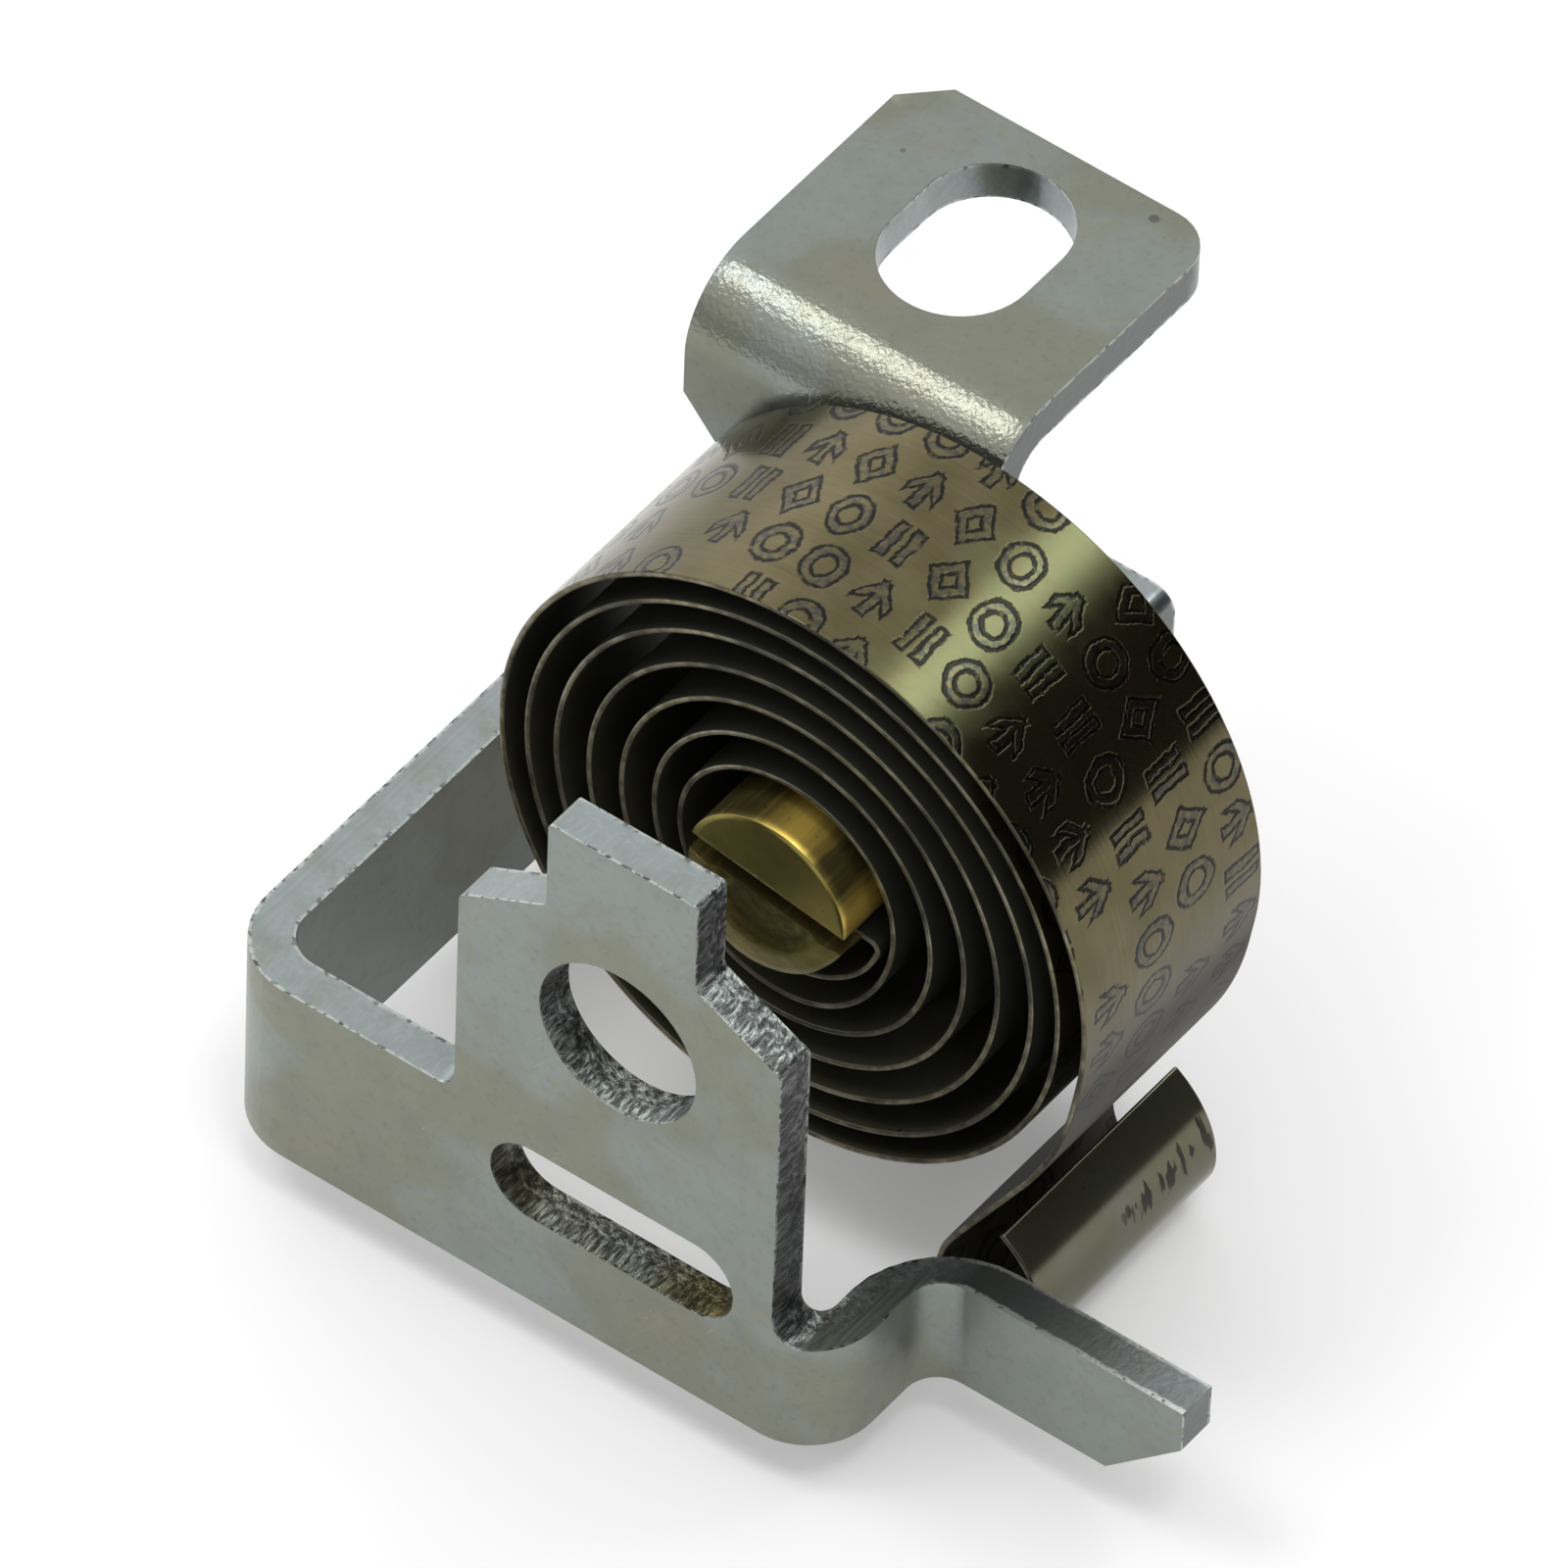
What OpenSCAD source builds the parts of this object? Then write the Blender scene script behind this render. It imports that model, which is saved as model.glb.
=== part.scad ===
// Bimetal choke coil on its stamped bracket.
// The bracket bolts down by the flange at its rear. A slotted post is staked into its back plate. A flat
// spiral of bimetal strip hooks into the post's slot and ends in a rolled eye, which pulls the choke rod.
// Origin: middle of the flange's bolt slot, on the flange's underside. +X right, +Y rear, +Z up.
// Heights, drops and offsets are measured from the front hole's axis, and depths from the coil's front rim.

/* [Sheet] */
// Thickness of the bracket's sheet
sheet_t = 2.1; // [1.6:0.1:2.4]
// Inside radius of the bends at the side wall and the flange
bend_r = 2; // [1.2:0.1:2.4]
// Inside radius of the tighter bend where the step leaves the front plate
step_r = 1.4; // [0.8:0.1:1.6]

/* [Front plate] */
// Depth of the bay between the front plate and the coil
front_gap = 10.25; // [9:0.05:12]
// Width of the front plate
plate_w = 17.26; // [15.5:0.02:17.6]
// Width of the tab on top of the front plate
tab_w = 7.98; // [6:0.02:9]
// Height of the tab's top
tab_top = 11.13; // [8:0.01:13]
// Height at which the sloped shoulders meet the tab
shoulder_in = 6.01; // [5.2:0.01:6.8]
// Height of the shoulders' outer ends
shoulder_out = 3.6; // [2:0.01:4.6]
// Radius of the small corners of the tab and the shoulders
plate_corner_r = 0.5; // [0.2:0.05:0.8]
// Diameter of the hole in front of the post
hole_d = 8.44; // [6:0.02:9.4]
// Length of the slot under the hole
slot_len = 13.16; // [9:0.02:14]
// Width of that slot
slot_w = 4.33; // [3:0.01:5]
// Drop of the slot's middle
slot_drop = 11.93; // [10.5:0.01:14]

/* [Side wall] */
// Distance from the hole's axis to the wall's outer face
wall_x = 22; // [20.5:0.05:24]
// Drop of the wall's upper edge
band_top = 8.8; // [6:0.05:10.5]
// Drop of the bracket's lower edge
band_bottom = 19.31; // [18:0.01:21]
// Radius where the plates rise from the band
band_fillet = 1; // [0.3:0.05:2]

/* [Tail] */
// Distance from the hole's axis to the step's right face
step_x = 11.66; // [11.2:0.02:13]
// Distance that the step sets the tail back
step_depth = 7.75; // [6:0.05:8.6]
// Inside radius of the bend from the step into the tail
tail_bend_in = 1.7; // [1:0.1:2.4]
// Outside radius of that bend, where the sheet is drawn thinner
tail_bend_out = 5.1; // [4:0.1:5.4]
// Drop of the tail's upper edge
tail_top = 13.27; // [12:0.01:14.5]
// Distance from the hole's axis to the tail's tip
tail_x = 25; // [21:0.1:28]
// Length of the cut at the tail's lower corner
tail_cut_x = 3.9; // [1:0.1:6]
// Height of the cut at the tail's lower corner
tail_cut_z = 3.7; // [1:0.1:4]
// Radius where the front plate runs into the tail
tail_fillet = 1.5; // [0.4:0.05:2.4]

/* [Back plate] */
// Gap between the coil's rear rim and the back plate
rear_gap = 0.98; // [0.5:0.02:3]
// Width of the back plate
back_w = 17; // [14:0.1:17.4]
// Height of the back plate's upper edge beside the flange
back_top = 10.3; // [8:0.05:10.6]
// Radius of the back plate's free upper corner
back_corner_r = 1.2; // [0.4:0.1:3]

/* [Flange] */
// Height of the flange's top face
flange_top = 14.92; // [14.6:0.02:18]
// Depth of the flange from the back plate's front face
flange_depth = 16.82; // [16:0.02:20]
// Distance of the flange's left edge from the hole's axis
flange_left = 16.45; // [14.5:0.05:18]
// Distance of the flange's right edge from the hole's axis, to the left too
flange_right = 0.15; // [-1:0.05:2]
// Height of the ear's lower edge
ear_bottom = 5.97; // [4:0.01:7]
// Width of the slanted cut at the ear's lower corner
ear_cut_x = 2.2; // [0.5:0.05:4]
// Height of the slanted cut at the ear's lower corner
ear_cut_z = 2.5; // [0.5:0.05:3]
// Size of the cut at the flange's left rear corner
flange_cut = 1.9; // [0.5:0.05:3]
// Radius of the flange's right rear corner
flange_corner_r = 2.3; // [0.5:0.05:4]
// Distance of the bolt slot from the hole's axis, to the left
bolt_x = 8.39; // [7:0.01:10]
// Distance of the bolt slot behind the back plate's front face
bolt_y = 10.12; // [9.5:0.01:11]
// Width of the bolt slot
bolt_w = 7.2; // [5:0.05:8]
// Length of the bolt slot
bolt_len = 9.8; // [8.2:0.05:10.4]

/* [Post] */
// Diameter of the post
post_d = 8.46; // [7.4:0.02:8.8]
// Distance that the post sits to the left of the hole's axis, along its slot
post_off = 0.26; // [0:0.02:0.4]
// Distance that the post stands out of the coil's front rim
post_front = 1.49; // [0.5:0.01:4]
// Width of the slot across the post
post_slot_w = 1.2; // [0.8:0.05:1.6]
// Depth of the post's slot past the coil's rear rim
post_slot_past = 0.3; // [0.1:0.05:0.4]
// Break of the post's front edge
post_break = 0.15; // [0.05:0.05:0.4]
// Diameter of the tenon through the back plate
tenon_d = 5; // [3:0.1:6]
// Diameter of the peened head behind the back plate
head_d = 7; // [6.4:0.1:8.4]
// Height of the peened head
head_h = 1.1; // [0.6:0.1:2]

/* [Coil] */
// Width of the strip
strip_w = 12.7; // [10:0.1:16]
// Thickness of the strip
strip_t = 0.28; // [0.2:0.02:0.5]
// Tilt of the straight tang in the post's slot, in degrees
tang_tilt = -9.5; // [-25:0.5:10]
// Length of the tang behind the hole's axis
tang_back = 3.8; // [2:0.1:4]
// Middle radius of the tang's bend
tang_bend_r = 0.42; // [0.35:0.01:0.8]
// Radius at the start of the first turn
wrap_r = 5.35; // [5.1:0.05:5.7]
// Growth of the radius in the first turn
wrap_pitch = 0.55; // [0:0.05:0.8]
// Growth of the radius in each later turn
turn_pitch = 1.79; // [1.5:0.01:1.8]
// Radius from which the later turns are counted
turn_r = 4.46; // [4.4:0.01:4.9]
// Bulge of the second turn where it steps out of the first
step_bulge = 0.5; // [0:0.05:0.6]
// Growth that each of the outermost turns loses
outer_close = 0.39; // [0.2:0.01:0.5]
// Amount by which the later turns are taller and narrower than round
coil_oval = 0.15; // [0:0.01:0.3]
// Place of the innermost turn beside the hole's axis
inner_shift = -0.45; // [-0.7:0.05:0]
// Place of the outermost turn beside the hole's axis
outer_shift = -0.36; // [-0.5:0.01:0.2]
// Place of all turns above the hole's axis
coil_rise = -0.15; // [-0.3:0.05:0.2]

/* [Leg and eye] */
// Turns of the spiral until the leg leaves it
coil_turns = 7.028; // [7:0.001:7.06]
// Length of the leg above its bend
leg_upper = 1.4; // [0.8:0.05:2.5]
// Bend of the leg towards the coil, in degrees
leg_bend = 22.8; // [10:0.2:26]
// Middle radius of the leg's bend
leg_bend_r = 18; // [12:0.5:22]
// Length of the leg below its bend
leg_lower = 6.75; // [6:0.05:8]
// Middle radius of the bend between the leg and the eye
lead_r = 4.5; // [3:0.1:5.5]
// Outer radius of the rolled eye
eye_r = 2.93; // [2.4:0.01:3.2]
// Length of the flared free end
flare_len = 5.1; // [3:0.1:5.6]
// Turn of the flared free end along its length, in degrees
flare_turn = 57; // [40:1:70]

/* [Fits] */
// Gap between the tang and the wall of the post's slot
tang_clear = 0.01; // [0.005:0.005:0.05]
// Gap round the tenon in the back plate
tenon_clear = 0.02; // [0.01:0.01:0.1]

/* [Hidden] */
$fn = 96;
corner_steps = 8;
turn_steps = 60;
flare_steps = 16;
bend_steps = 10;
// overlap of a cutting shape past the face that it cuts
past = 1;
front_y = -front_gap - sheet_t;
tail_y = front_y + step_depth;
rear_y = strip_w + rear_gap;
wall_bend_x = sheet_t + bend_r - wall_x;
step_bend_x = step_x - sheet_t - step_r;
flange_bend_y = rear_y + sheet_t + bend_r;
flange_bend_z = flange_top - sheet_t - bend_r;
seat_z = flange_top - sheet_t;
post_at = -post_off * dir(tang_tilt);
steel = [0.66, 0.69, 0.68];
brass = [0.62, 0.5, 0.2];
bimetal = [0.38, 0.36, 0.27];

// Direction of an angle
function dir(a) = [cos(a), sin(a)];
function unit(v) = v / norm(v);
function last(list) = list[len(list) - 1];
function arc_len(r, turn) = r * turn * PI / 180;

// Arc that rounds the corner b between its neighbours a and c
function corner(a, b, c, r) =
    let (u = unit(a - b))
    let (w = unit(c - b))
    let (half = acos(u * w) / 2)
    let (o = b + unit(u + w) * r / sin(half))
    let (from = b + u * r / tan(half) - o)
    let (to = b + w * r / tan(half) - o)
    let (start = atan2(from.y, from.x))
    let (turn = (atan2(to.y, to.x) - start + 540) % 360 - 180)
    [for (i = [0:corner_steps]) o + r * dir(start + turn * i / corner_steps)];

// Outline from points [x, y, corner radius]
function rounded(pts) =
    let (n = len(pts))
    let (flat = [for (p = pts) [p.x, p.y]])
    [for (i = [0:n - 1]) each
        pts[i][2] == 0 ? [flat[i]] : corner(flat[(i + n - 1) % n], flat[i], flat[(i + 1) % n], pts[i][2])];

// Points on a stretch that starts at p, heads along h and turns evenly to the left
function stretch(p, h, length, turn, steps) =
    [for (i = [1:steps])
        let (t = turn * i / steps)
        let (chord = t == 0 ? 1 : sin(t / 2) / (t / 2 * PI / 180))
        p + length * i / steps * chord * dir(h + t / 2)];

// Both sides of a strip along a midline, as one outline, with the headings of its two ends
function strip_outline(mid, from, to) =
    let (n = len(mid))
    let (side = [for (i = [0:n - 1])
        let (run = i == 0 ? dir(from) : i == n - 1 ? dir(to) : unit(mid[i + 1] - mid[i - 1]))
        [-run.y, run.x] * strip_t / 2])
    concat([for (i = [0:n - 1]) mid[i] + side[i]], [for (i = [n - 1:-1:0]) mid[i] - side[i]]);

// Moves a piece from the hole's axis at the coil's front rim to the origin at the bolt slot
module placed() {
    translate([bolt_x, -rear_y - bolt_y, -seat_z]) children();
}

// Stands an outline drawn in X and Z upright, from y0 back to y1
module upright(y0, y1) {
    translate([0, y1, 0]) rotate([90, 0, 0]) linear_extrude(y1 - y0) children();
}

module obround(length, width) {
    square([length - width, width], center = true);
    for (s = [-1, 1]) translate([s * (length - width) / 2, 0]) circle(d = width);
}

// Quarter of a bend in section, with its middle at c
module bend(c, r, turn) {
    translate(c) rotate(turn) intersection() {
        difference() {
            circle(r + sheet_t);
            circle(r);
        }
        square(r + sheet_t);
    }
}

// Section of the front plate and the stepped tail, from above
module front_section() {
    translate([wall_bend_x, front_y]) square([step_bend_x - wall_bend_x, sheet_t]);
    bend([step_bend_x, step_r - front_gap], step_r, 270);
    // the step and the tail, with a bend between them whose outside is rounder than its inside
    step_end = step_r - front_gap;
    polygon(rounded([
        [step_x - sheet_t, step_end, 0],
        [step_x - sheet_t, tail_y + sheet_t, min(tail_bend_out, 0.9 * (step_depth - step_r))],
        [tail_x + past, tail_y + sheet_t, 0],
        [tail_x + past, tail_y, 0],
        [step_x, tail_y, tail_bend_in],
        [step_x, step_end, 0],
    ]));
}

module front_outline() {
    half = plate_w / 2;
    tab = tab_w / 2;
    r = plate_corner_r;
    difference() {
        polygon(rounded([
            [wall_bend_x, -band_bottom, 0],
            [tail_x - tail_cut_x, -band_bottom, 0],
            [tail_x, tail_cut_z - band_bottom, 0],
            [tail_x, -tail_top, 0],
            [half, -tail_top, tail_fillet],
            [half, shoulder_out, r],
            [tab, shoulder_in, r],
            [tab, tab_top, r / 2],
            [-tab, tab_top, r / 2],
            [-tab, shoulder_in, r],
            [-half, shoulder_out, r],
            [-half, -band_top, band_fillet],
            [wall_bend_x, -band_top, 0],
        ]));
        circle(d = hole_d);
        translate([0, -slot_drop]) obround(slot_len, slot_w);
    }
}

module front_plate() {
    intersection() {
        translate([0, 0, -band_bottom - past]) linear_extrude(band_bottom + tab_top + 2 * past) front_section();
        upright(front_y - past, tail_y + sheet_t + past) front_outline();
    }
}

// Side wall with the bends that join it to both plates
module side_wall() {
    translate([0, 0, -band_bottom]) linear_extrude(band_bottom - band_top) {
        bend([wall_bend_x, bend_r - front_gap], bend_r, 180);
        translate([-wall_x, bend_r - front_gap]) square([sheet_t, rear_y + front_gap - 2 * bend_r]);
        bend([wall_bend_x, rear_y - bend_r], bend_r, 90);
    }
}

module back_outline() {
    half = back_w / 2;
    root_r = (flange_bend_z - back_top) / 2;
    difference() {
        polygon(rounded([
            [wall_bend_x, -band_bottom, 0],
            [half, -band_bottom, back_corner_r],
            [half, back_top, back_corner_r],
            [-flange_right, back_top, root_r],
            [-flange_right, flange_bend_z, 0],
            [-flange_left, flange_bend_z, 0],
            [-flange_left, ear_bottom + ear_cut_z, 0],
            [ear_cut_x - flange_left, ear_bottom, 0],
            [-half, ear_bottom, band_fillet],
            [-half, -band_top, band_fillet],
            [wall_bend_x, -band_top, 0],
        ]));
        translate(post_at) circle(d = tenon_d + 2 * tenon_clear);
    }
}

module back_plate() {
    upright(rear_y, rear_y + sheet_t) back_outline();
}

// Section of the flange and its bend, from the right
module flange_section() {
    bend([flange_bend_y, flange_bend_z], bend_r, 90);
    translate([flange_bend_y, seat_z]) square([rear_y + flange_depth + past - flange_bend_y, sheet_t]);
}

module flange_outline() {
    back = rear_y + flange_depth;
    difference() {
        polygon(rounded([
            [-flange_left, rear_y - past, 0],
            [-flange_right, rear_y - past, 0],
            [-flange_right, back, flange_corner_r],
            [flange_cut - flange_left, back, 0],
            [-flange_left, back - flange_cut, 0],
        ]));
        translate([-bolt_x, rear_y + bolt_y]) rotate(90) obround(bolt_len, bolt_w);
    }
}

module flange() {
    intersection() {
        translate([-flange_left - past, 0, 0]) rotate([90, 0, 90])
            linear_extrude(flange_left - flange_right + 2 * past) flange_section();
        translate([0, 0, flange_bend_z - past]) linear_extrude(flange_top - flange_bend_z + 2 * past) flange_outline();
    }
}

// One stamped and folded sheet
module bracket() {
    color(steel) placed() {
        front_plate();
        side_wall();
        back_plate();
        flange();
    }
}

// Turned post: slotted body, tenon through the back plate, peened head behind it
module coil_post() {
    body_r = post_d / 2;
    slot_end = strip_w + post_slot_past;
    behind = rear_y + sheet_t;
    color(brass) placed() translate([post_at.x, 0, post_at.y]) difference() {
        rotate([-90, 0, 0]) rotate_extrude() polygon([
            [0, -post_front],
            [body_r - post_break, -post_front],
            [body_r, post_break - post_front],
            [body_r, rear_y],
            [tenon_d / 2, rear_y],
            [tenon_d / 2, behind],
            [head_d / 2, behind],
            [head_d / 2, behind + head_h / 2],
            [tenon_d / 2, behind + head_h],
            [0, behind + head_h],
        ]);
        rotate([0, -tang_tilt, 0]) translate([-post_d, -post_front - past, -post_slot_w / 2])
            cube([2 * post_d, post_front + past + slot_end, post_slot_w]);
    }
}

// Midline of the strip. The tang lies along the lower wall of the post's slot.
tang_run = dir(tang_tilt);
tang_down = dir(tang_tilt - 90);
tang_drop = tang_down * (post_slot_w / 2 - strip_t / 2 - tang_clear);
inner_mid = [inner_shift, coil_rise];
// the tang's bend touches the first turn from inside, which gives its distance along the tang
bend_side = tang_drop + tang_down * tang_bend_r - inner_mid;
bend_reach = wrap_r - tang_bend_r;
bend_at = sqrt((bend_side * tang_run) ^ 2 - bend_side * bend_side + bend_reach ^ 2) - bend_side * tang_run;
bend_mid = tang_drop + tang_down * tang_bend_r + tang_run * bend_at;
wrap_angle = atan2(bend_mid.y - inner_mid.y, bend_mid.x - inner_mid.x);
first_k = -wrap_angle / 360;
// turns between which the radius passes from the first turn's growth to that of the later turns
step_from = 0.95;
step_to = 1.25;
step_mid = 1.23;
step_width = 0.12;
close_from = 5;

function eased(t) = let (c = min(max(t, 0), 1)) c * c * (3 - 2 * c);
function spiral_r(k) =
    let (e = eased((k - step_from) / (step_to - step_from)))
    let (inner = wrap_r + wrap_pitch * (k - first_k))
    let (closed = outer_close * max(0, k - close_from))
    let (later = turn_r + turn_pitch * k - closed - coil_oval * cos(720 * k))
    inner * (1 - e) + later * e + step_bulge * exp(-((k - step_mid) / step_width) ^ 2);
function spiral_mid(k) =
    let (f = (k - first_k) / (coil_turns - first_k))
    [inner_shift * (1 - f) + outer_shift * f, coil_rise];
function spiral_point(k) = spiral_mid(k) + spiral_r(k) * dir(-360 * k);

tang = [tang_drop - tang_run * tang_back, tang_drop + tang_run * bend_at];
tang_bend = [for (i = [1:bend_steps - 1])
    bend_mid + tang_bend_r * dir(tang_tilt + 90 + (wrap_angle - tang_tilt - 90) * i / bend_steps)];
spiral_steps = ceil((coil_turns - first_k) * turn_steps);
spiral = [for (i = [0:spiral_steps]) spiral_point(first_k + (coil_turns - first_k) * i / spiral_steps)];

leg_run = spiral_point(coil_turns + 1 / turn_steps) - spiral_point(coil_turns - 1 / turn_steps);
upper_heading = atan2(leg_run.y, leg_run.x);
lower_heading = upper_heading - leg_bend;
upper_leg = stretch(last(spiral), upper_heading, leg_upper, 0, 1);
bent_leg = stretch(last(upper_leg), upper_heading, arc_len(leg_bend_r, leg_bend), -leg_bend, bend_steps);
lower_leg = stretch(last(bent_leg), lower_heading, leg_lower, 0, 1);
// the lead turns the strip straight down into the eye
lead_turn = -90 - lower_heading;
lead = stretch(last(lower_leg), lower_heading, arc_len(lead_r, lead_turn), lead_turn, bend_steps);
// the eye's place in whole microns, so that the lead ends on the eye's own edge
eye_mid_r = eye_r - strip_t / 2;
eye_mid = [for (v = last(lead) + [eye_mid_r, 0]) round(v * 1000) / 1000];
lead_into_eye = concat([for (i = [0:bend_steps - 2]) lead[i]], [eye_mid - [eye_mid_r, 0]]);
leg = concat(upper_leg, bent_leg, lower_leg, lead_into_eye);
// the eye is a half ring, and the strip rises from its right end into the flare
flare = concat([[eye_mid_r, 0]], stretch([eye_mid_r, 0], 90, flare_len, flare_turn, flare_steps));

module half_ring() {
    reach = 2 * eye_r;
    intersection() {
        difference() {
            circle(eye_r);
            circle(eye_r - strip_t);
        }
        translate([-reach, -reach]) square([2 * reach, reach]);
    }
}

// One strip: tang, spiral, leg, rolled eye and flared end
module bimetal_coil() {
    color(bimetal) placed() {
        upright(0, strip_w)
            polygon(strip_outline(concat(tang, tang_bend, spiral, leg), tang_tilt, -90));
        translate([eye_mid.x, 0, eye_mid.y]) {
            upright(0, strip_w) half_ring();
            upright(0, strip_w) polygon(strip_outline(flare, 90, 90 + flare_turn));
        }
    }
}

bracket();
coil_post();
bimetal_coil();
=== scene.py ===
import math

import bmesh
import bpy
from mathutils import Matrix, Vector
from mathutils.bvhtree import BVHTree


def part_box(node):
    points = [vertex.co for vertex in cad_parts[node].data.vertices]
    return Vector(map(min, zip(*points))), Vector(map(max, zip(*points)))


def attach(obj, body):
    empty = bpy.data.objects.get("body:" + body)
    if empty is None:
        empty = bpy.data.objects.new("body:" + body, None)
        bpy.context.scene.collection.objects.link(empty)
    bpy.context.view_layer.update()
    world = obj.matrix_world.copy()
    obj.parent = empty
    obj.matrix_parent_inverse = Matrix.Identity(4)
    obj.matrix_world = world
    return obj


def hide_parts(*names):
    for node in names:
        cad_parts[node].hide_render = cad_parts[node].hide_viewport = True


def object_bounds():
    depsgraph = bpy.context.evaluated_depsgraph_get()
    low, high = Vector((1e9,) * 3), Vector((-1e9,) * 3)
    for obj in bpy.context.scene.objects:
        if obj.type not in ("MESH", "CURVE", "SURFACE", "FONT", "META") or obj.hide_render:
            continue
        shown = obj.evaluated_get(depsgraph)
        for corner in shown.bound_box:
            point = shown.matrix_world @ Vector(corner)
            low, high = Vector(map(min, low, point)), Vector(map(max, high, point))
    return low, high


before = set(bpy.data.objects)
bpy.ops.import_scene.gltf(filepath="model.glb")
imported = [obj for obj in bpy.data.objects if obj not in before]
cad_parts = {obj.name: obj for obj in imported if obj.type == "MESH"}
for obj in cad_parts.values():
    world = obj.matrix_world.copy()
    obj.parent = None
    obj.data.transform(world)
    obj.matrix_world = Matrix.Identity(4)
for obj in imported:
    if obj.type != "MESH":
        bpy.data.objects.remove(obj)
cadLow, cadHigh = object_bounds()
mm = 0.001

# Local places are in millimetres from the front hole's axis at the coil's front rim
postOffset = Vector((-0.25643, 0, 0.04291))
postLow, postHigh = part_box("coil_post")
coilLow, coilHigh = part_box("bimetal_coil")
postMiddle = Vector(((postLow.x + postHigh.x) / 2, coilLow.y, (postLow.z + postHigh.z) / 2))
axisPoint = postMiddle - postOffset * mm
toFrame = Matrix.Translation(axisPoint) @ Matrix.Scale(mm, 4)
toLocal = toFrame.inverted()


def eased(share):
    share = min(max(share, 0), 1)
    return share * share * (3 - 2 * share)


def heading(angle):
    return Vector((math.cos(math.radians(angle)), math.sin(math.radians(angle))))


# Shader helpers
def addNode(tree, kind, inputs=None, **settings):
    made = tree.nodes.new(kind)
    for name, value in settings.items():
        setattr(made, name, value)
    for name, value in (inputs or {}).items():
        if isinstance(value, bpy.types.NodeSocket):
            tree.links.new(value, made.inputs[name])
        else:
            made.inputs[name].default_value = value
    return made


def calc(tree, operation, first, second=0.0, third=0.0, clamp=False):
    inputs = {0: first, 1: second, 2: third}
    return addNode(tree, "ShaderNodeMath", inputs, operation=operation, use_clamp=clamp).outputs[0]


def mixColours(tree, share, first, second):
    inputs = {0: share, 6: first, 7: second}
    return addNode(tree, "ShaderNodeMix", inputs, data_type="RGBA").outputs[2]


def mixValues(tree, share, first, second):
    return addNode(tree, "ShaderNodeMix", {0: share, 2: first, 3: second}).outputs[0]


def between(tree, value, low, high):
    inputs = {"Value": value, "From Min": low, "From Max": high}
    return addNode(tree, "ShaderNodeMapRange", inputs, interpolation_type="SMOOTHSTEP").outputs[0]


def noise(tree, vector, scale, detail=3.0, roughness=0.55):
    inputs = {"Vector": vector, "Scale": scale, "Detail": detail, "Roughness": roughness}
    return addNode(tree, "ShaderNodeTexNoise", inputs).outputs["Fac"]


def faded(tree, mask, amount):
    return calc(tree, "MULTIPLY", mask, amount)


def flipped(tree, mask):
    return calc(tree, "SUBTRACT", 1.0, mask)


def stretched(tree, vector, scale, turn=(0, 0, 0)):
    inputs = {"Vector": vector, "Scale": scale, "Rotation": turn}
    return addNode(tree, "ShaderNodeMapping", inputs).outputs[0]


def grey(level):
    return (level, level, level, 1)


def newGroup(name, inputs, outputs):
    group = bpy.data.node_groups.new(name, "ShaderNodeTree")
    for socket, kind in inputs.items():
        group.interface.new_socket(socket, in_out="INPUT", socket_type=kind)
    for socket, kind in outputs.items():
        group.interface.new_socket(socket, in_out="OUTPUT", socket_type=kind)
    return group, group.nodes.new("NodeGroupInput").outputs, group.nodes.new("NodeGroupOutput").inputs


def useGroup(tree, group, inputs):
    return addNode(tree, "ShaderNodeGroup", inputs, node_tree=group).outputs


# Small dark specks of uneven size
def makeSpecks():
    group, given, out = newGroup("specks", {"Vector": "NodeSocketVector", "Scale": "NodeSocketFloat",
                                            "Amount": "NodeSocketFloat"}, {"Mask": "NodeSocketFloat"})
    cells = addNode(group, "ShaderNodeTexVoronoi", {"Vector": given["Vector"], "Scale": given["Scale"]})
    pick = addNode(group, "ShaderNodeSeparateColor", {0: cells.outputs["Color"]}).outputs[0]
    size = calc(group, "MULTIPLY", calc(group, "POWER", pick, 3.0), given["Amount"])
    inside = calc(group, "DIVIDE", calc(group, "SUBTRACT", size, cells.outputs["Distance"]), given["Amount"])
    group.links.new(between(group, inside, low=0.0, high=0.35), out["Mask"])
    return group


# Fine lines along the first axis of the given coordinates
def makeScratches():
    group, given, out = newGroup("scratches", {"Vector": "NodeSocketVector", "Scale": "NodeSocketFloat",
                                               "Width": "NodeSocketFloat"}, {"Mask": "NodeSocketFloat"})
    long = stretched(group, given["Vector"], scale=(0.03, 1, 1))
    level = noise(group, long, scale=given["Scale"], detail=2.0)
    off = calc(group, "ABSOLUTE", calc(group, "SUBTRACT", level, 0.5))
    line = calc(group, "SUBTRACT", 1.0, calc(group, "DIVIDE", off, given["Width"]), clamp=True)
    patchy = between(group, noise(group, given["Vector"], scale=260.0), low=0.5, high=0.7)
    group.links.new(calc(group, "MULTIPLY", line, patchy), out["Mask"])
    return group


# Rows of outlined rings, arrows, bars and diamonds, one in each cell of a grid in millimetres
etching = {"along": 2.75, "across": 3.15, "slant": 0.06, "stroke": 0.24, "line": 0.1, "waver": 0.5,
           "waverScale": 0.8, "rowShift": 0.37, "ringFlat": 0.82, "ringR": 0.78, "barReach": 0.85,
           "barAside": 0.45, "tipSlope": 1.2, "tipAt": 0.8, "tipThin": 0.64, "tipReach": 0.6,
           "diamondWide": 0.8, "diamondTall": 0.6, "diamondR": 0.58, "ringsTo": 0.34, "arrowsTo": 0.56,
           "barsTo": 0.74, "diamondsTo": 0.9, "blank": 2.0, "raggedScale": 4.0, "swell": 2.4,
           "lineFull": 0.4, "lineEdge": 1.4, "insideFull": 0.7}


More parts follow.
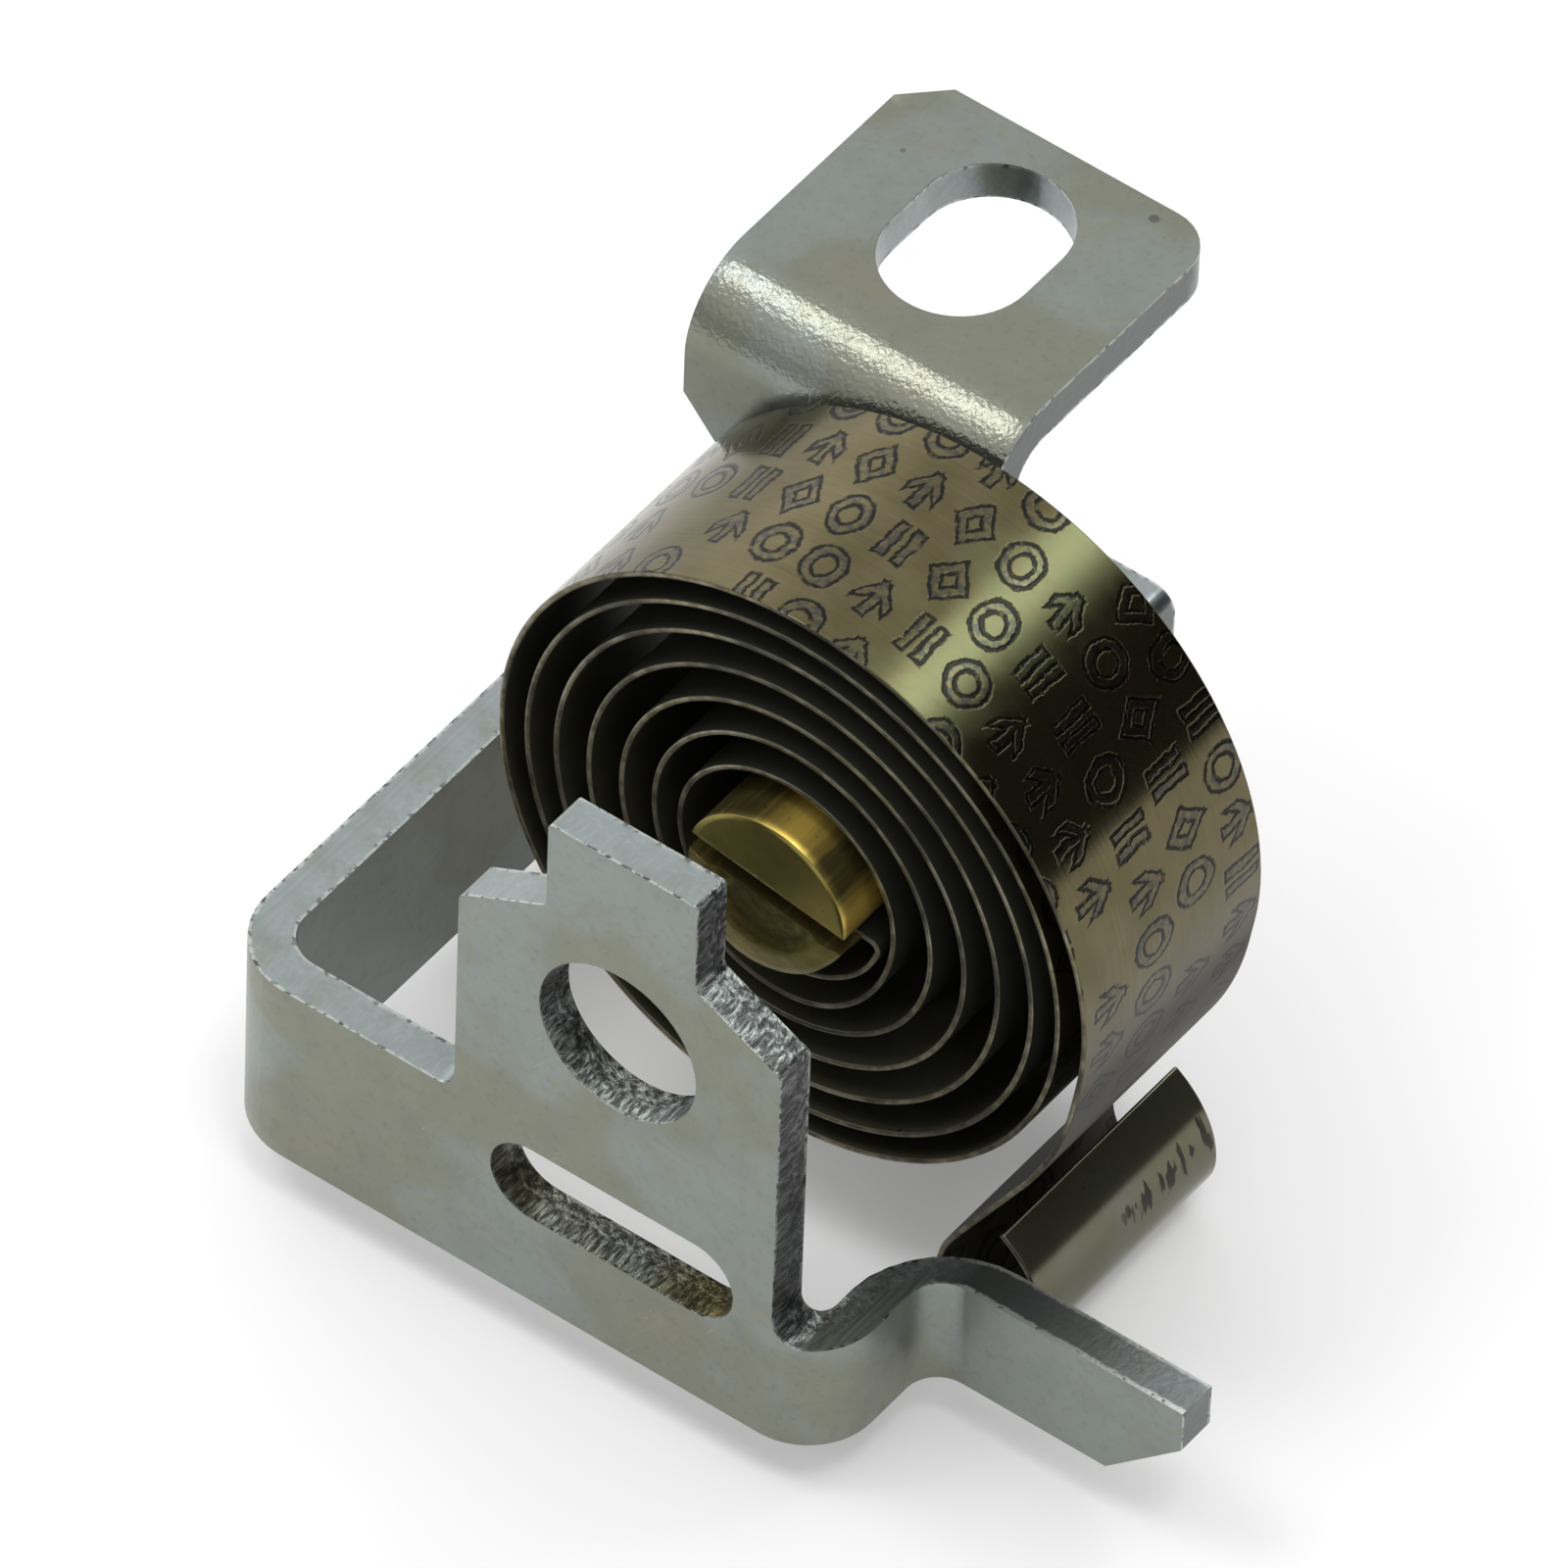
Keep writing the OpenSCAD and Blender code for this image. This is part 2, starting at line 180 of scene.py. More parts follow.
def makeEtching(e):
    group, given, out = newGroup("etching", {"Vector": "NodeSocketVector"},
                                 {"Outline": "NodeSocketFloat", "Inside": "NodeSocketFloat"})
    place = addNode(group, "ShaderNodeSeparateXYZ", {0: given["Vector"]}).outputs
    wobble = addNode(group, "ShaderNodeTexNoise", {"Vector": given["Vector"], "Scale": e["waverScale"],
                                                   "Detail": 3.0})
    sway = addNode(group, "ShaderNodeSeparateColor", {0: wobble.outputs["Color"]}).outputs
    u = calc(group, "MULTIPLY_ADD", calc(group, "SUBTRACT", sway[0], 0.5), e["waver"], place[0])
    v = calc(group, "MULTIPLY_ADD", calc(group, "SUBTRACT", sway[1], 0.5), e["waver"], place[1])
    v = calc(group, "MULTIPLY_ADD", u, e["slant"], v)
    rowAt = calc(group, "DIVIDE", v, e["across"])
    row = calc(group, "FLOOR", rowAt)
    columnAt = calc(group, "ADD", calc(group, "DIVIDE", u, e["along"]),
                    calc(group, "MULTIPLY", row, e["rowShift"]))
    column = calc(group, "FLOOR", columnAt)
    x = calc(group, "MULTIPLY", calc(group, "SUBTRACT", calc(group, "FRACT", columnAt), 0.5), e["along"])
    y = calc(group, "MULTIPLY", calc(group, "SUBTRACT", calc(group, "FRACT", rowAt), 0.5), e["across"])
    cell = addNode(group, "ShaderNodeCombineXYZ", {0: column, 1: row}).outputs[0]
    pick = addNode(group, "ShaderNodeTexWhiteNoise", {"Vector": cell}, noise_dimensions="2D").outputs["Value"]
    sideways = calc(group, "ABSOLUTE", x)
    upward = calc(group, "ABSOLUTE", y)

    # distance from each mark's middle line
    flatter = calc(group, "MULTIPLY", upward, e["ringFlat"])
    oval = calc(group, "SQRT", calc(group, "ADD", calc(group, "POWER", sideways, 2.0),
                                    calc(group, "POWER", flatter, 2.0)))
    ring = calc(group, "ABSOLUTE", calc(group, "SUBTRACT", oval, e["ringR"]))
    shaft = calc(group, "MAXIMUM", sideways, calc(group, "SUBTRACT", upward, e["barReach"]))
    slope = calc(group, "SUBTRACT", calc(group, "MULTIPLY_ADD", sideways, e["tipSlope"], y), e["tipAt"])
    head = calc(group, "MAXIMUM", calc(group, "MULTIPLY", calc(group, "ABSOLUTE", slope), e["tipThin"]),
                calc(group, "SUBTRACT", sideways, e["tipReach"]))
    arrow = calc(group, "MINIMUM", shaft, head)
    bars = calc(group, "MAXIMUM", calc(group, "ABSOLUTE", calc(group, "SUBTRACT", sideways, e["barAside"])),
                calc(group, "SUBTRACT", upward, e["barReach"]))
    lozenge = calc(group, "ADD", calc(group, "MULTIPLY", sideways, e["diamondWide"]),
                   calc(group, "MULTIPLY", upward, e["diamondTall"]))
    diamond = calc(group, "ABSOLUTE", calc(group, "SUBTRACT", lozenge, e["diamondR"]))
    marks = mixValues(group, calc(group, "GREATER_THAN", pick, e["ringsTo"]), ring, arrow)
    marks = mixValues(group, calc(group, "GREATER_THAN", pick, e["arrowsTo"]), marks, bars)
    marks = mixValues(group, calc(group, "GREATER_THAN", pick, e["barsTo"]), marks, diamond)
    marks = mixValues(group, calc(group, "GREATER_THAN", pick, e["diamondsTo"]), marks, e["blank"])

    # the line swells and thins as it goes
    ragged = noise(group, given["Vector"], scale=e["raggedScale"], detail=3.0, roughness=0.6)
    rim = calc(group, "ABSOLUTE", calc(group, "SUBTRACT", marks, e["stroke"]))
    rim = calc(group, "MULTIPLY_ADD", calc(group, "SUBTRACT", 0.5, ragged), e["line"] * e["swell"], rim)
    fromLine = between(group, rim, low=e["line"] * e["lineFull"], high=e["line"] * e["lineEdge"])
    outline = flipped(group, fromLine)
    fromStroke = between(group, marks, low=e["stroke"] * e["insideFull"], high=e["stroke"])
    inside = flipped(group, fromStroke)
    group.links.new(outline, out["Outline"])
    group.links.new(inside, out["Inside"])
    return group


specks = makeSpecks()
scratches = makeScratches()
etchedMarks = makeEtching(etching)
print("shader groups made")


def newMaterial(name):
    material = bpy.data.materials.new(name)
    material.use_nodes = True
    tree = material.node_tree
    tree.nodes.clear()
    shader = tree.nodes.new("ShaderNodeBsdfPrincipled")
    out = tree.nodes.new("ShaderNodeOutputMaterial")
    tree.links.new(shader.outputs[0], out.inputs[0])
    return material, tree, shader.inputs


def objectPlace(tree):
    return addNode(tree, "ShaderNodeTexCoord").outputs["Object"]


def painted(tree, *names):
    return [addNode(tree, "ShaderNodeAttribute", attribute_name=name).outputs["Fac"] for name in names]


def bump(tree, height, depth, strength=1.0, under=None):
    inputs = {"Height": height, "Distance": depth * mm, "Strength": strength}
    if under is not None:
        inputs["Normal"] = under
    return addNode(tree, "ShaderNodeBump", inputs).outputs[0]


# Zinc plate: warm and cool patches with soft tide marks and small specks, a painted shade that makes the
# inner skin a little darker, and dimpled where "bent" is high
zinc = {"cool": (0.25, 0.276, 0.257, 1), "warm": (0.229, 0.236, 0.19, 1), "yellow": (0.27, 0.24, 0.14, 1),
        "dark": (0.04, 0.042, 0.036, 1), "pale": (0.5, 0.53, 0.5, 1), "edge": (0.29, 0.325, 0.33, 1),
        "side": (0.118, 0.13, 0.123, 1), "glint": (0.66, 0.75, 0.7, 1), "burrAndHighlight": (0.9, 0.93, 0.88, 1),
        "gold": (0.5, 0.39, 0.11, 1), "goldDeep": (0.1, 0.085, 0.035, 1), "pit": grey(0.03),
        "pitLit": grey(0.09), "crest": grey(0.2), "metal": 0.9, "tideAt": 0.46, "cutRun": 0.0004}


def zincColour(tree, place):
    level = noise(tree, place, scale=85.0, detail=3.0, roughness=0.45)
    colour = mixColours(tree, between(tree, level, low=zinc["tideAt"], high=0.53), zinc["cool"], zinc["warm"])
    tide = calc(tree, "ABSOLUTE", calc(tree, "SUBTRACT", level, zinc["tideAt"]))
    tide = flipped(tree, between(tree, tide, low=0.0, high=0.014))
    colour = mixColours(tree, faded(tree, tide, amount=0.25), colour, zinc["yellow"])
    turned = stretched(tree, place, scale=(1, 1, 1), turn=(1, 2, 3))
    stain = between(tree, noise(tree, turned, scale=150.0, detail=4.0), low=0.56, high=0.8)
    colour = mixColours(tree, faded(tree, stain, amount=0.45), colour, zinc["yellow"])
    cloud = between(tree, noise(tree, place, scale=520.0, detail=4.0, roughness=0.6), low=0.35, high=0.75)
    return mixColours(tree, faded(tree, cloud, amount=0.1), colour, zinc["dark"])


def makeZincSkin():
    material, tree, shader = newMaterial("zincSkin")
    place = objectPlace(tree)
    colour = zincColour(tree, place)
    spots = useGroup(tree, specks, {"Vector": stretched(tree, place, scale=(1, 1, 0.6)), "Scale": 560.0,
                                    "Amount": 0.2})["Mask"]
    spots = calc(tree, "MULTIPLY", spots, between(tree, noise(tree, place, scale=130.0), low=0.38, high=0.58))
    colour = mixColours(tree, faded(tree, spots, amount=0.6), colour, zinc["dark"])
    dust = between(tree, noise(tree, place, scale=2400.0, detail=3.0, roughness=0.7), low=0.5, high=0.75)
    colour = mixColours(tree, faded(tree, dust, amount=0.16), colour, zinc["dark"])
    turned = stretched(tree, place, scale=(1, 1, 1), turn=(0.4, 0.9, 0.3))
    lines = useGroup(tree, scratches, {"Vector": turned, "Scale": 1500.0, "Width": 0.008})["Mask"]
    colour = mixColours(tree, faded(tree, lines, amount=0.22), colour, zinc["pale"])
    across, bent = painted(tree, "across", "bent")
    # painted shade: the inner skin is coloured a little darker, except where the sheet is bent
    inside = between(tree, across, low=0.4, high=0.6)
    inside = calc(tree, "MULTIPLY", inside, calc(tree, "SUBTRACT", 1.0, bent, clamp=True))
    colour = mixColours(tree, faded(tree, inside, amount=0.13), colour, zinc["dark"])
    tree.links.new(colour, shader["Base Color"])
    shader["Metallic"].default_value = zinc["metal"]
    rough = mixValues(tree, noise(tree, place, scale=300.0, detail=4.0), 0.3, 0.42)
    tree.links.new(mixValues(tree, bent, rough, 0.24), shader["Roughness"])
    grain = bump(tree, noise(tree, place, scale=3000.0, detail=4.0), depth=0.008)
    grain = bump(tree, noise(tree, place, scale=240.0, detail=2.0), depth=0.02, under=grain)
    dimples = calc(tree, "MULTIPLY", noise(tree, place, scale=4400.0, detail=2.0, roughness=0.5), bent)
    tree.links.new(bump(tree, dimples, depth=0.034, under=grain), shader["Normal"])
    return material


# Sheared edge of the sheet: torn across where "torn" is high, else smooth, painted lighter where it faces up
# and darker where it faces sideways, with a burr along the outer skin, partly a painted highlight and
# brightest along the tail's top edge, chips along the inner one and brassy patches where "gilded" is high
def makeZincCut():
    material, tree, shader = newMaterial("zincCut")
    place = objectPlace(tree)
    across, torn, upward, paintedBurrHighlight, gilded = painted(tree, "across", "torn", "upward", "paintedBurrHighlight", "gilded")
    spot = addNode(tree, "ShaderNodeSeparateXYZ", {0: place}).outputs
    depth = calc(tree, "MULTIPLY", across, zinc["cutRun"])
    run = addNode(tree, "ShaderNodeCombineXYZ", {0: spot[0], 1: depth, 2: spot[2]}).outputs[0]
    streaks = noise(tree, run, scale=5600.0, detail=4.0, roughness=0.6)
    crumbs = noise(tree, place, scale=2600.0, detail=4.0, roughness=0.65)
    broken = calc(tree, "MULTIPLY_ADD", noise(tree, place, scale=800.0, detail=3.0), 0.5, across)
    ragged = mixValues(tree, between(tree, broken, low=0.66, high=0.85), streaks, crumbs)
    tear = between(tree, ragged, low=0.4, high=0.68)
    worn = between(tree, noise(tree, place, scale=420.0, detail=4.0), low=0.4, high=0.7)
    plain = mixColours(tree, worn, zinc["edge"], zinc["cool"])
    # painted light and shade: cut faces are coloured lighter where they face up and darker where they face
    # sideways
    plain = mixColours(tree, upward, zinc["side"], plain)
    deep = mixColours(tree, upward, zinc["pit"], zinc["pitLit"])
    high = mixColours(tree, upward, zinc["crest"], zinc["glint"])
    colour = mixColours(tree, torn, plain, mixColours(tree, tear, deep, high))
    patches = between(tree, noise(tree, place, scale=380.0, detail=3.0), low=0.34, high=0.56)
    gold = mixColours(tree, tear, zinc["goldDeep"], zinc["gold"])
    colour = mixColours(tree, calc(tree, "MULTIPLY", gilded, patches), colour, gold)
    uneven = noise(tree, place, scale=1500.0, detail=3.0, roughness=0.7)
    # the burr along the outer skin, partly real and partly a painted highlight: flecked dark and pale, and
    # painted wider and near-white along the tail's top edge
    nearSkin = calc(tree, "MULTIPLY_ADD", uneven, 0.18, across)
    nearSkin = calc(tree, "MULTIPLY_ADD", paintedBurrHighlight, -0.06, nearSkin)
    burrAndHighlight = flipped(tree, between(tree, nearSkin, low=0.11, high=0.18))
    flecks = calc(tree, "MULTIPLY_ADD", paintedBurrHighlight, 0.14, noise(tree, place, scale=2600.0, detail=2.0))
    pale = mixColours(tree, paintedBurrHighlight, zinc["pale"], zinc["burrAndHighlight"])
    glint = mixColours(tree, between(tree, flecks, low=0.36, high=0.52), zinc["dark"], pale)
    colour = mixColours(tree, faded(tree, burrAndHighlight, amount=0.85), colour, glint)
    uneven = noise(tree, place, scale=1300.0, detail=3.0, roughness=0.7)
    farSkin = calc(tree, "MULTIPLY_ADD", uneven, -0.25, across)
    chips = faded(tree, between(tree, farSkin, low=0.76, high=0.84), amount=0.6)
    colour = mixColours(tree, chips, colour, glint)
    tree.links.new(colour, shader["Base Color"])
    shader["Metallic"].default_value = zinc["metal"]
    tree.links.new(mixValues(tree, torn, 0.3, 0.27), shader["Roughness"])
    height = mixValues(tree, torn, faded(tree, crumbs, amount=0.15), ragged)
    tree.links.new(bump(tree, height, depth=0.1), shader["Normal"])
    return material


# Turned brass, dulled to olive, with a painted highlight in places round the barrel and darker brown round
# the rest of it as painted shade, and stained brown where struck
brassTone = {"bright": (0.9, 0.63, 0.13, 1), "gold": (0.42, 0.32, 0.085, 1), "olive": (0.24, 0.205, 0.06, 1),
             "brown": (0.09, 0.073, 0.022, 1)}


def makeBrass():
    material, tree, shader = newMaterial("brassPost")
    place = objectPlace(tree)
    struck, barrel, paintedHighlight = painted(tree, "struck", "barrel", "paintedHighlight")
    tone = between(tree, noise(tree, place, scale=330.0, detail=4.0), low=0.25, high=0.7)
    dull = calc(tree, "MULTIPLY_ADD", tone, 0.6, 0.4)
    colour = mixColours(tree, dull, brassTone["gold"], brassTone["olive"])
    streaks = noise(tree, stretched(tree, place, scale=(1, 0.08, 1)), scale=2600.0, detail=4.0)
    # painted highlight: the barrel is coloured bright gold where the lamps' highlight falls and brown round
    # the rest as painted shade, broken by the turning streaks
    shine = calc(tree, "MULTIPLY_ADD", calc(tree, "SUBTRACT", streaks, 0.5), 0.7, paintedHighlight, clamp=True)
    side = mixColours(tree, shine, brassTone["brown"], brassTone["bright"])
    colour = mixColours(tree, barrel, colour, side)
    stain = between(tree, noise(tree, place, scale=700.0, detail=4.0), low=0.2, high=0.55)
    stain = calc(tree, "MULTIPLY", struck, stain)
    colour = mixColours(tree, stain, colour, brassTone["brown"])
    spots = useGroup(tree, specks, {"Vector": place, "Scale": 1500.0, "Amount": 0.2})["Mask"]
    colour = mixColours(tree, faded(tree, spots, amount=0.6), colour, brassTone["brown"])
    tree.links.new(colour, shader["Base Color"])
    tree.links.new(mixValues(tree, barrel, 1.0, 0.77), shader["Metallic"])
    endRough = mixValues(tree, struck, 0.28, 0.42)
    sideRough = mixValues(tree, paintedHighlight, 0.46, 0.36)
    tree.links.new(mixValues(tree, barrel, endRough, sideRough), shader["Roughness"])
    dents = noise(tree, place, scale=1300.0, detail=4.0)
    dents = calc(tree, "MULTIPLY", dents, calc(tree, "MULTIPLY_ADD", struck, 3.0, 0.6))
    tree.links.new(bump(tree, mixValues(tree, barrel, dents, streaks), depth=0.03), shader["Normal"])
    return material


# Rolled bimetal strip: places are in millimetres along it from the end of the turns, and across it
bimetal = {"tan": (0.165, 0.14, 0.076, 1), "olive": (0.13, 0.112, 0.054, 1),
           "etchAndShade": (0.012, 0.012, 0.013, 1), "filled": (0.045, 0.05, 0.055, 1),
           "back": (0.145, 0.146, 0.112, 1), "rim": (0.27, 0.242, 0.175, 1),
           "inner": (0.085, 0.09, 0.07, 1), "green": (0.115, 0.125, 0.062, 1), "legMetal": 0.25,
           "gloss": 0.15, "etchedFrom": -114.0, "etchedTo": -112.0, "legFrom": -5.0, "legTo": 2.0,
           "eyeFrom": 18.0, "eyeTo": 22.0, "dripAt": 28.2, "dripFrom": 5.0, "dripTo": 7.0, "greenAt": -21.0,
           "greenFull": 2.0, "greenEdge": 6.5}


def stripPlace(tree):
    flat = addNode(tree, "ShaderNodeUVMap", uv_map="strip").outputs[0]
    return addNode(tree, "ShaderNodeVectorMath", {0: flat, "Scale": 1 / mm}, operation="SCALE").outputs[0]


def rolled(tree, flat):
    return noise(tree, stretched(tree, flat, scale=(0.12, 6, 1)), scale=1.0, detail=5.0, roughness=0.6)


def makeBimetalFace():
    material, tree, shader = newMaterial("bimetalFace")
    flat = stripPlace(tree)
    along = addNode(tree, "ShaderNodeSeparateXYZ", {0: flat}).outputs[0]
    tone = between(tree, noise(tree, flat, scale=0.35, detail=4.0), low=0.3, high=0.7)
    colour = mixColours(tree, tone, bimetal["tan"], bimetal["olive"])
    colour = mixColours(tree, faded(tree, rolled(tree, flat), amount=0.38), colour, bimetal["etchAndShade"])
    marks = useGroup(tree, etchedMarks, {"Vector": flat})
    worn = between(tree, noise(tree, flat, scale=1.6, detail=4.0, roughness=0.65), low=0.24, high=0.46)
    outermost = between(tree, along, low=bimetal["etchedFrom"], high=bimetal["etchedTo"])
    # painted highlight colour: a mottled greenish tint where the lamp's highlight falls on the outer turn
    away = calc(tree, "ABSOLUTE", calc(tree, "SUBTRACT", along, bimetal["greenAt"]))
    away = calc(tree, "MULTIPLY_ADD", tone, 3.0, away)
    green = flipped(tree, between(tree, away, low=bimetal["greenFull"], high=bimetal["greenEdge"]))
    mottled = between(tree, noise(tree, flat, scale=1.3, detail=4.0, roughness=0.65), low=0.25, high=0.55)
    mottled = calc(tree, "MULTIPLY", green, mottled)
    colour = mixColours(tree, mottled, colour, bimetal["green"])
    # painted shade: the inner turns are coloured darker and left without marks
    colour = mixColours(tree, outermost, bimetal["inner"], colour)
    worn = calc(tree, "MULTIPLY", worn, outermost)
    outline = calc(tree, "MULTIPLY", marks["Outline"], worn)
    smudge = between(tree, noise(tree, flat, scale=2.6, detail=3.0), low=0.4, high=0.62)
    filled = calc(tree, "MULTIPLY", marks["Inside"], calc(tree, "MULTIPLY", worn, smudge))
    colour = mixColours(tree, faded(tree, filled, amount=0.7), colour, bimetal["filled"])
    colour = mixColours(tree, faded(tree, outline, amount=0.92), colour, bimetal["etchAndShade"])
    # painted shade: the leg's face side is coloured near-black
    leg = between(tree, along, low=bimetal["legFrom"], high=bimetal["legTo"])
    colour = mixColours(tree, faded(tree, leg, amount=0.72), colour, bimetal["etchAndShade"])
    tree.links.new(colour, shader["Base Color"])
    metal = mixValues(tree, leg, mixValues(tree, outermost, 0.86, 0.95), bimetal["legMetal"])
    tree.links.new(metal, shader["Metallic"])
    shader["Specular IOR Level"].default_value = bimetal["gloss"]
    rough = mixValues(tree, green, mixValues(tree, outermost, 0.4, 0.16), 0.24)
    rough = mixValues(tree, leg, mixValues(tree, outline, rough, 0.24), 0.5)
    tree.links.new(rough, shader["Roughness"])
    height = calc(tree, "SUBTRACT", faded(tree, rolled(tree, flat), amount=0.35), outline)
    tree.links.new(bump(tree, height, depth=0.014), shader["Normal"])
    return material


def makeBimetalBack():
    material, tree, shader = newMaterial("bimetalBack")
    flat = stripPlace(tree)
    along, width = addNode(tree, "ShaderNodeSeparateXYZ", {0: flat}).outputs[:2]
    tone = between(tree, noise(tree, flat, scale=0.4, detail=4.0), low=0.3, high=0.7)
    eye = between(tree, along, low=bimetal["eyeFrom"], high=bimetal["eyeTo"])
    colour = mixColours(tree, faded(tree, tone, amount=0.5), bimetal["back"], bimetal["olive"])
    lines = useGroup(tree, scratches, {"Vector": flat, "Scale": 2.5, "Width": 0.02})["Mask"]
    colour = mixColours(tree, faded(tree, lines, amount=0.3), colour, bimetal["rim"])
    spots = useGroup(tree, specks, {"Vector": flat, "Scale": 0.55, "Amount": 0.12})["Mask"]
    colour = mixColours(tree, faded(tree, spots, amount=0.8), colour, bimetal["etchAndShade"])
    streaks = noise(tree, stretched(tree, flat, scale=(0.35, 1.6, 1)), scale=1.0, detail=3.0)
    middle = calc(tree, "ABSOLUTE", calc(tree, "SUBTRACT", along, bimetal["dripAt"]))
    drip = between(tree, calc(tree, "MULTIPLY_ADD", middle, -0.16, streaks), low=0.47, high=0.53)
    lower = between(tree, width, low=bimetal["dripFrom"], high=bimetal["dripTo"])
    drip = calc(tree, "MULTIPLY", drip, lower)
    colour = mixColours(tree, faded(tree, drip, amount=0.8), colour, bimetal["etchAndShade"])
    # painted shade: the leg's back side is coloured near-black, except on the eye
    leg = between(tree, along, low=bimetal["legFrom"], high=bimetal["legTo"])
    leg = calc(tree, "MULTIPLY", leg, flipped(tree, eye))
    colour = mixColours(tree, faded(tree, leg, amount=0.85), colour, bimetal["etchAndShade"])
    tree.links.new(colour, shader["Base Color"])
    tree.links.new(mixValues(tree, leg, 0.82, bimetal["legMetal"]), shader["Metallic"])
    shader["Specular IOR Level"].default_value = bimetal["gloss"]
    rough = mixValues(tree, rolled(tree, flat), 0.32, 0.44)
    rough = mixValues(tree, leg, mixValues(tree, eye, rough, mixValues(tree, drip, 0.17, 0.4)), 0.55)
    tree.links.new(rough, shader["Roughness"])
    tree.links.new(bump(tree, rolled(tree, flat), depth=0.006), shader["Normal"])
    return material


def makeBimetalRim():
    material, tree, shader = newMaterial("bimetalRim")
    place = objectPlace(tree)
    tone = between(tree, noise(tree, place, scale=1500.0, detail=4.0), low=0.35, high=0.65)
    colour = mixColours(tree, tone, bimetal["rim"], bimetal["olive"])
    dull = between(tree, noise(tree, place, scale=210.0, detail=3.0), low=0.4, high=0.62)
    colour = mixColours(tree, faded(tree, dull, amount=0.75), colour, bimetal["etchAndShade"])
    tree.links.new(colour, shader["Base Color"])
    shader["Metallic"].default_value = 0.85
    shader["Roughness"].default_value = 0.36
    tree.links.new(bump(tree, noise(tree, place, scale=3000.0, detail=3.0), depth=0.02), shader["Normal"])
    return material


zincSkin, zincCut, brassPost = makeZincSkin(), makeZincCut(), makeBrass()
bimetalFace, bimetalBack, bimetalRim = makeBimetalFace(), makeBimetalBack(), makeBimetalRim()
print("materials made")


def addPiece(mesh, name, materials, node):
    for face in mesh.faces:
        face.smooth = True
    data = bpy.data.meshes.new(name)
    mesh.to_mesh(data)
    mesh.free()
    for material in materials:
        data.materials.append(material)
    piece = bpy.data.objects.new(name, data)
    bpy.context.scene.collection.objects.link(piece)
    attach(piece, "root")
    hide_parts(node)
    return piece


def sharpEdges(mesh, angle):
    limit = math.radians(angle)
    return [e for e in mesh.edges if len(e.link_faces) == 2 and e.calc_face_angle() > limit]


def evenNormals(piece):
    weighted = piece.modifiers.new("evenNormals", "WEIGHTED_NORMAL")
    weighted.keep_sharp = True


# The folded sheet: its own form, with the sheared edges broken and told apart from the two skins
sheet = {"break": 0.09, "breakSteps": 3, "sharp": 35, "skinShare": 0.04, "tornFacing": 0.25,
         "holeR": 4.4, "slotDrop": 11.93, "slotHalf": 2.3, "slotReach": 6.8, "frontDepth": -8.0,
         "boltHalf": 3.7, "boltReach": 5.0, "rimRoll": 0.35, "rimSteps": 5, "cuts": 26,
         "tailTop": -8.0, "filletFrom": 8.7, "filletTo": 12.5, "filletFade": 1.6, "filletTorn": 0.25,
         "shadeTo": 20.0, "shadeDeep": 0.95, "torn": 0.9, "tornLeast": 0.06, "rimFrom": 1.0, "rimFacing": 0.8,
         "gildLeast": 0.3, "gildMore": 0.6, "bentFrom": 0.15, "bentOver": 0.5, "weld": 0.001, "flat": 0.6,
         "cutNear": 0.02}


def smoothRegions(mesh, angle):
    limit = math.radians(angle)
    left = set(mesh.faces)
    regions = []
    while left:
        region, edge = [], [left.pop()]
        while edge:
            face = edge.pop()
            region.append(face)
            near = {f for e in face.edges if e.calc_face_angle(math.pi) < limit for f in e.link_faces}
            edge.extend(near & left)
            left -= near
        regions.append(region)
    return sorted(regions, key=lambda r: -sum(f.calc_area() for f in r))


def skinTree(faces):
    spots = []
    corners = []
    for face in faces:
        corners.append(range(len(spots), len(spots) + len(face.verts)))
        spots.extend(v.co.copy() for v in face.verts)
    return BVHTree.FromPolygons(spots, [list(c) for c in corners])


def onBoltRim(spot, s, low):
    return spot.z > low and abs(spot.x) < s["boltHalf"] * mm and abs(spot.y) < s["boltReach"] * mm


# Tells the skins from the cut edges by how far across the sheet a face is, and marks the bent stretches
def paintSkins(s, mesh, outer, inner):
    share, bent = (mesh.verts.layers.float.new(name) for name in ("across", "bent"))
    for v in mesh.verts:
        v[bent] = eased((-2 * v.normal.y * v.normal.z - s["bentFrom"]) / s["bentOver"])
        fromOuter, fromInner = outer.find_nearest(v.co)[3], inner.find_nearest(v.co)[3]
        v[share] = fromOuter / (fromOuter + fromInner)
    for face in mesh.faces:
        level = sum(v[share] for v in face.verts) / len(face.verts)
        face.material_index = int(s["skinShare"] < level < 1 - s["skinShare"])


